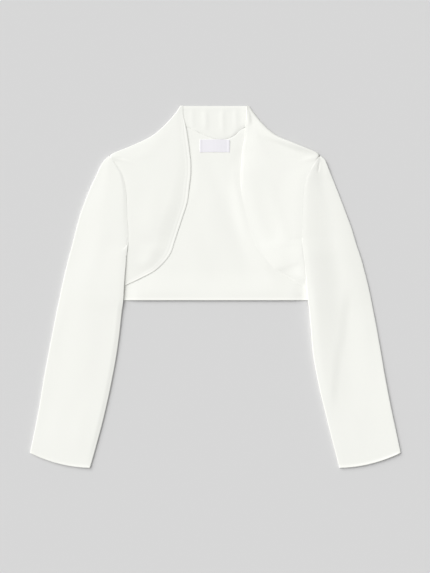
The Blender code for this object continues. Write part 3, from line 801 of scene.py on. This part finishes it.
def makeBack():
    shape, hemY = backShape, body["hemY"]
    lines = (
        shoulderLine(frontRight), neckLine(frontRight), neckLine(frontLeft), shoulderLine(frontLeft)
    )
    topX, topY = (np.concatenate([a, b[::-1], c[1:], d[::-1]]) for a, b, c, d in zip(*lines))
    # Side seam and back armhole, from the hem up
    sideIn = body["sideSeamX"] - body["backTuck"]
    firstUp, lastUnder = shape["seamRows"]
    seamY = np.concatenate([
        hemY + np.array(shape["hemRows"]),
        np.arange(hemY + firstUp, body["underarmY"] - lastUnder, shape["rowSpacing"]),
    ])
    armholeAt = np.linspace(*shape["armholeStations"])
    up = np.concatenate([seamY, readColumn(sleeveTable, "innerY", armholeAt)])
    sides = []
    underX = readColumn(sleeveTable, "under", armholeAt)
    for side, corner in ((-1, 0), (1, -1)):
        armX = readColumn(sleeveTable, sideNames[side] + "Inner", armholeAt) + underX
        armX = np.minimum(armX - shape["armholeGap"], sideIn)
        lineX = side * np.concatenate([np.full(len(seamY), sideIn), armX])
        sides.append((np.append(lineX, topX[corner]), np.append(up, topY[corner])))
    (rightX, rightY), (leftX, leftY) = sides
    # How far up and across each row and column lies
    risen = (rightY - hemY) / (rightY[-1] - hemY)
    crossed = (topX - topX[0]) / (topX[-1] - topX[0])

    def place(row, column):
        i, j = row.astype(int), column.astype(int)
        v, w = risen[i], crossed[j]
        hemX = rightX[0] + (leftX[0] - rightX[0]) * w
        point = []
        for hem, top, right, left in ((hemX, topX, rightX, leftX), (hemY, topY, rightY, leftY)):
            corners = (
                (1 - w) * (1 - v) * right[0] + w * (1 - v) * left[0]
                + (1 - w) * v * right[-1] + w * v * left[-1]
            )
            point.append((1 - v) * hem + v * top[j] + (1 - w) * right[i] + w * left[i] - corners)
        x, y = point
        # Nothing but the ridge and the hem's lift may raise it where the fronts lie on it
        widened = np.maximum(0, shape["bareWidensBelow"] - y) * shape["bareWidens"]
        bare = 1 - fade(*shape["bareFades"], np.abs(x) / (shape["bareHalf"] + widened))
        inside = bare * fade(0, shape["looseFromHem"], y - hemY)
        inside *= 1 - fade(*shape["looseToNeck"], y)
        loose = shape["looseRest"] + creaseLift(x, y, shape["creases"])
        loose = np.maximum(0, loose + shape["unevenness"] * unevenness(x, y, shape["seed"]))
        atHem = 1 - fade(*shape["hemWall"], y - hemY)
        thickness = cloth["wall"] + (cloth["edge"] - cloth["wall"]) * atHem
        return x, y, thickness / 2 + bodyLift(x, y) + inside * loose, thickness

    return clothPiece("backPanel", np.arange(len(rightX)), np.arange(len(topX)), place)


collarShape = {
    "rowsUp": (
        0, 0.02, 0.05, 0.1, 0.17, 0.25, 0.33, 0.41, 0.5, 0.58, 0.66, 0.73, 0.79, 0.83,
        0.86, 0.885, 0.91, 0.93, 0.95, 0.965, 0.98, 0.99, 1.0,
    ),
    "underBack": 1.6,  # how far it reaches down past the neck seam
    "edgeWall": (0.15, 2.6, 8.0),  # so much thicker, from and to below its top
    "edgeStep": (0.08, 8.2, 9.8),  # height, from and to below its top
    "edgeGroove": (-0.06, 4.6, 0.8),  # height, distance below its top, half width
    "ripplesTo": (44, 56),  # the fronts lie on it farther out
    "ripples": (
        (-46, 347, -44, 304, 4.5, 0.4, 0),
        (-20.5, 346, -18.5, 306, 5, 0.6, 1),
        (14.6, 347, 16.4, 298, 4.5, 0.55, -1),
        (40, 346, 42, 308, 4, 0.5, 0),
        # where the neck seam pulls the collar's edge up
        (-44, 308, -30, 301, 2.5, 0.5, 0),
        (30, 300, 42, 292, 2.5, 0.5, 0),
    ),
    # where it rises and goes under the left front
    "underFront": ((61.5, 378, 60.5, 305, 7, 0.7, 0),),
    "lies": (0.35, 0.33, 0.5, 6.0),  # height, how much less at its lower edge, from and to above it
    "rolls": (0.3, 5.0, (-2.0, 5.0)),  # height, reach from its top and from its lower edge
}


def makeBackCollar():
    shape, wall, topY = collarShape, cloth["wall"], body["collarTopY"]
    right, left = neckLine(frontRight), neckLine(frontLeft)
    seam = [np.concatenate([a[::-1], b[1:]]) for a, b in zip(right, left)]
    lowX, lowY = insetLine(*seam, -shape["underBack"])
    topRight = body["collarTuck"] - frontRight["rows"][0][0]
    topLeft = frontLeft["rows"][0][0] - body["collarTuck"]
    topX = topRight + (topLeft - topRight) * (lowX - lowX[0]) / (lowX[-1] - lowX[0])

    def place(up, column):
        j = column.astype(int)
        x = lowX[j] + (topX[j] - lowX[j]) * up
        y = lowY[j] + (topY - lowY[j]) * up
        fromTop, fromLow = topY - y, y - lowY[j]
        thicker, wallFrom, wallTo = shape["edgeWall"]
        thickness = wall + thicker * (1 - fade(wallFrom, wallTo, fromTop))
        stepHeight, stepFrom, stepTo = shape["edgeStep"]
        grooveHeight, grooveAt, grooveWidth = shape["edgeGroove"]
        sewn = stepHeight * (1 - fade(stepFrom, stepTo, fromTop))
        sewn += grooveHeight * bell(fromTop - grooveAt, grooveWidth)
        shown = 1 - fade(*shape["ripplesTo"], np.abs(x))
        rippled = shown * creaseLift(x, y, shape["ripples"]) + creaseLift(x, y, shape["underFront"])
        height, less, lowFrom, lowTo = shape["lies"]
        lies = height - less * (1 - fade(lowFrom, lowTo, fromLow))
        rollHeight, rollReach, rollLow = shape["rolls"]
        rolls = rollHeight * fade(0, rollReach, fromTop) * fade(*rollLow, fromLow)
        return x, y, thickness / 2 + sewn + rippled + rolls + lies, thickness

    return clothPiece("backCollar", shape["rowsUp"], np.arange(len(lowX)), place)


label = {
    "width": 58.5,
    "height": 25.0,
    "middle": (-0.5, 274.5),
    "thick": 0.55,
    "lift": 1.4,
    "columns": 60,
    "rows": 24,
    "bow": (0.25, 2.2),  # mm, and radians from the middle to an end
    "turnedEnd": (0.3, 3.2, 4.2),  # height, from and to: each end is turned under
    "stitches": (0.25, 1.6, 0.5),  # depth, distance from the end, half width
    "buckle": (0.35, 0.6, 0.4),  # height, its even share and the share that waves
    "buckleTurn": (3, 1),  # radians from the middle to an end, and at the middle
}


def makeLabel():
    # A woven ribbon with its ends turned under, sewn down at both ends
    deselectAll()
    columns, rows = label["columns"], label["rows"]
    bpy.ops.mesh.primitive_grid_add(x_subdivisions=columns, y_subdivisions=rows, size=2)
    piece = bpy.context.object
    piece.name = piece.data.name = "neckLabel"
    bowHeight, bowTurn = label["bow"]
    turnedHeight, turnedFrom, turnedTo = label["turnedEnd"]
    stitchDepth, stitchAt, stitchWidth = label["stitches"]
    buckleHeight, evenShare, waveShare = label["buckle"]
    buckleTurn, buckleStart = label["buckleTurn"]
    for vertex in piece.data.vertices:
        u, v = vertex.co.x, vertex.co.y
        x = label["middle"][0] + u * label["width"] / 2
        y = label["middle"][1] + v * label["height"] / 2 + bowHeight * math.cos(u * bowTurn)
        fromEnd = (1 - abs(u)) * label["width"] / 2
        z = label["lift"] + label["thick"] / 2
        z += turnedHeight * (1 - fade(turnedFrom, turnedTo, fromEnd))
        z -= stitchDepth * bell(fromEnd - stitchAt, stitchWidth)
        waves = evenShare + waveShare * math.sin(buckleTurn * u + buckleStart)
        z += buckleHeight * (1 - u * u) * waves
        vertex.co = (x * mm, y * mm, z * mm)
    thicken(piece, label["thick"])
    return piece


def addNode(owner, kind, **values):
    # owner is a material or the world; a value is the node's own or one of its inputs'
    node = owner.node_tree.nodes.new(kind)
    for key, value in values.items():
        if hasattr(node, key):
            setattr(node, key, value)
        else:
            node.inputs[key.replace("_", " ")].default_value = value
    return node


def addMath(owner, operation, *inputs):
    # each input is a number or another node's output
    node = addNode(owner, "ShaderNodeMath", operation=operation)
    for socket, value in zip(node.inputs, inputs):
        if isinstance(value, bpy.types.NodeSocket):
            owner.node_tree.links.new(value, socket)
        else:
            socket.default_value = value
    return node.outputs[0]


def newMaterial(name, **values):
    material = bpy.data.materials.new(name)
    material.use_nodes = True
    shader = material.node_tree.nodes["Principled BSDF"]
    for key, value in values.items():
        shader.inputs[key.replace("_", " ")].default_value = value
    return material, shader, material.node_tree.links.new


def addWeave(material, place, yarns, **values):
    # yarns across and along, over and under each other; the texture has 20 radians to a unit
    waves = []
    for direction, yarn in zip("XY", yarns):
        wave = addNode(material, "ShaderNodeTexWave", bands_direction=direction, **values)
        wave.inputs["Scale"].default_value = 1 / (yarn * mm) / 20
        material.node_tree.links.new(place.outputs["Object"], wave.inputs["Vector"])
        waves.append(wave.outputs["Fac"])
    return addMath(material, "MULTIPLY", *waves)


def addRelief(material, shader, height, look):
    bump = addNode(
        material, "ShaderNodeBump", Strength=look["reliefShown"], Distance=look["relief"] * mm
    )
    material.node_tree.links.new(height, bump.inputs["Height"])
    material.node_tree.links.new(bump.outputs["Normal"], shader.inputs["Normal"])


def addColour(material, shader, factor, look):
    tone = addNode(material, "ShaderNodeValToRGB")
    colours = (look["shade"], look["colour"])
    for element, position, value in zip(tone.color_ramp.elements, look["toneEnds"], colours):
        element.position = position
        element.color = value
    material.node_tree.links.new(factor, tone.inputs["Fac"])
    material.node_tree.links.new(tone.outputs["Color"], shader.inputs["Base Color"])


crepeLook = {
    "colour": (0.925, 0.93, 0.885, 1),
    "shade": (0.905, 0.91, 0.862, 1),
    "toneEnds": (0.25, 0.75),
    "roughness": (0.66, 0.8),
    "pebble": 0.75,  # mm, the grain of the twisted yarn
    "yarns": (0.38, 0.38),  # mm to a radian of the weave, so 2.4 mm from yarn to yarn
    "weaveShare": 0.35,  # of the relief, beside the pebble's
    "relief": 0.11,  # mm
    "reliefShown": 0.55,
    "driftScale": 9.0,
    "slubScale": 140.0,
    "driftShare": 0.5,
    "pebbleShare": 0.5,
}


def makeCrepe():
    look = crepeLook
    material, shader, link = newMaterial(
        "ivoryCrepe", Sheen_Weight=0.06, Sheen_Roughness=0.5, Specular_IOR_Level=0.25
    )
    place = addNode(material, "ShaderNodeTexCoord")
    pebble, drift, slub = (
        addNode(material, "ShaderNodeTexNoise", **values)
        for values in (
            {"Scale": 1 / (look["pebble"] * mm), "Detail": 2.0, "Roughness": 0.6},
            {"Scale": look["driftScale"], "Detail": 1.0},
            {"Scale": look["slubScale"], "Detail": 2.0},
        )
    )
    for texture in (pebble, drift, slub):
        link(place.outputs["Object"], texture.inputs["Vector"])

    # Relief: the weave under the pebbled grain
    weave = addWeave(material, place, look["yarns"], Distortion=1.2, Detail=1.0, Detail_Scale=1.5)
    grain = addMath(material, "MULTIPLY_ADD", weave, look["weaveShare"], pebble.outputs["Fac"])
    addRelief(material, shader, grain, look)

    # Colour: a slow drift and the grain's own small shadows
    fine = addMath(material, "MULTIPLY", pebble.outputs["Fac"], look["pebbleShare"])
    mixture = addMath(material, "MULTIPLY_ADD", drift.outputs["Fac"], look["driftShare"], fine)
    addColour(material, shader, mixture, look)

    # Uneven yarn makes the roughness uneven
    matte = addNode(material, "ShaderNodeMapRange")
    matte.inputs["To Min"].default_value, matte.inputs["To Max"].default_value = look["roughness"]
    link(slub.outputs["Fac"], matte.inputs["Value"])
    link(matte.outputs["Result"], shader.inputs["Roughness"])
    return material


labelLook = {
    "colour": (0.905, 0.89, 0.935, 1),
    "shade": (0.86, 0.845, 0.885, 1),
    "toneEnds": (0.0, 0.6),
    "yarns": (0.42, 0.2604),
    "relief": 0.08,  # mm
    "reliefShown": 0.6,
}


def makeLabelWeave():
    look = labelLook
    material, shader, _ = newMaterial("labelWeave", Roughness=0.42)
    place = addNode(material, "ShaderNodeTexCoord")
    weave = addWeave(material, place, look["yarns"], Distortion=0.4)
    addColour(material, shader, weave, look)
    addRelief(material, shader, weave, look)
    return material


def giveMaterial(piece, material):
    piece.data.materials.clear()
    piece.data.materials.append(material)


crepe = makeCrepe()
print("cutting the pieces")
back = makeBack()
backCollar = makeBackCollar()
rightFront = makeFront("frontRight", frontRight)
leftFront = makeFront("frontLeft", frontLeft)
rightSleeve = makeSleeve("sleeveRight", sleeveRight)
leftSleeve = makeSleeve("sleeveLeft", sleeveLeft)
neckLabel = makeLabel()
for piece in (back, backCollar, rightFront, leftFront, rightSleeve, leftSleeve):
    giveMaterial(piece, crepe)
giveMaterial(neckLabel, makeLabelWeave())

cuts = (
    # piece, node, flat width, flat length, flat area, what it rests on
    (back, "back", 0.414, 0.342, 0.1216, []),
    (backCollar, "back_collar", 0.188, 0.064, 0.0077, []),
    (rightFront, "front_right", 0.164, 0.376, 0.0349, ["back"]),
    (leftFront, "front_left", 0.160, 0.376, 0.0344, ["back"]),
    (rightSleeve, "sleeve_right", 0.268, 0.612, 0.134, ["frontRight"]),
    (leftSleeve, "sleeve_left", 0.264, 0.612, 0.131, ["frontLeft"]),
    (neckLabel, "neck_label", label["width"] * mm, label["height"] * mm, None, ["back"]),
)
for piece, node, width, length, area, restsOn in cuts:
    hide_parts(node)
    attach(piece, "root")

studio = {
    "floorTone": 0.685,
    "floorSize": 60,  # m
    "floorBelow": 0.3,  # mm
    # One wide soft light from the upper left; height and width in degrees
    "keyFrom": (-0.76, 0.65),
    "keyHeight": 37.0,
    "keyWidth": 50.0,
    "keyStrength": 2.5,
    "fill": 0.515,
    "fillFrom": (-1.0, 0.0, 0.0),
    "fillLean": 0.6,  # how much stronger it is from there
    "cameraHeight": 2.638,  # m
    "cameraUp": 0.5,  # mm, towards the collar
    "lens": 85,
    "sensor": 36,
    "seesTo": 50,  # m
}


def makeStudio():
    deselectAll()
    below = -studio["floorBelow"] * mm
    bpy.ops.mesh.primitive_plane_add(size=studio["floorSize"], location=(0, 0, below))
    floor = bpy.context.object
    floor.name = "floor"
    tone = studio["floorTone"]
    paper, _, _ = newMaterial(
        "paleFloor", Base_Color=(tone, tone, tone, 1), Roughness=0.9, Specular_IOR_Level=0.1
    )
    giveMaterial(floor, paper)

    # The fill comes from all round, and a little more from the left
    world = bpy.data.worlds.new("studio")
    world.use_nodes = True
    background = world.node_tree.nodes["Background"]
    background.inputs["Color"].default_value = (1, 1, 1, 1)
    around = addNode(world, "ShaderNodeTexCoord")
    lean = addNode(world, "ShaderNodeVectorMath", operation="DOT_PRODUCT")
    lean.inputs[1].default_value = studio["fillFrom"]
    fill = studio["fill"]
    leaning = (lean.outputs["Value"], fill * studio["fillLean"], fill)
    strength = addMath(world, "MULTIPLY_ADD", *leaning)
    world.node_tree.links.new(around.outputs["Generated"], lean.inputs[0])
    world.node_tree.links.new(strength, background.inputs["Strength"])
    bpy.context.scene.world = world
    bpy.context.scene.view_settings.view_transform = "Standard"

    keyX, keyY = studio["keyFrom"]
    tilt = math.radians(90 - studio["keyHeight"])
    bpy.ops.object.light_add(type="SUN", rotation=(0, tilt, math.atan2(keyY, keyX)))
    key = bpy.context.object
    key.data.energy = studio["keyStrength"]
    key.data.angle = math.radians(studio["keyWidth"])

    place = (0, studio["cameraUp"] * mm, studio["cameraHeight"])
    bpy.ops.object.camera_add(location=place, rotation=(0, 0, 0))
    camera = bpy.context.object
    camera.data.lens = studio["lens"]
    camera.data.sensor_width = studio["sensor"]
    camera.data.clip_end = studio["seesTo"]
    bpy.context.scene.camera = camera


makeStudio()
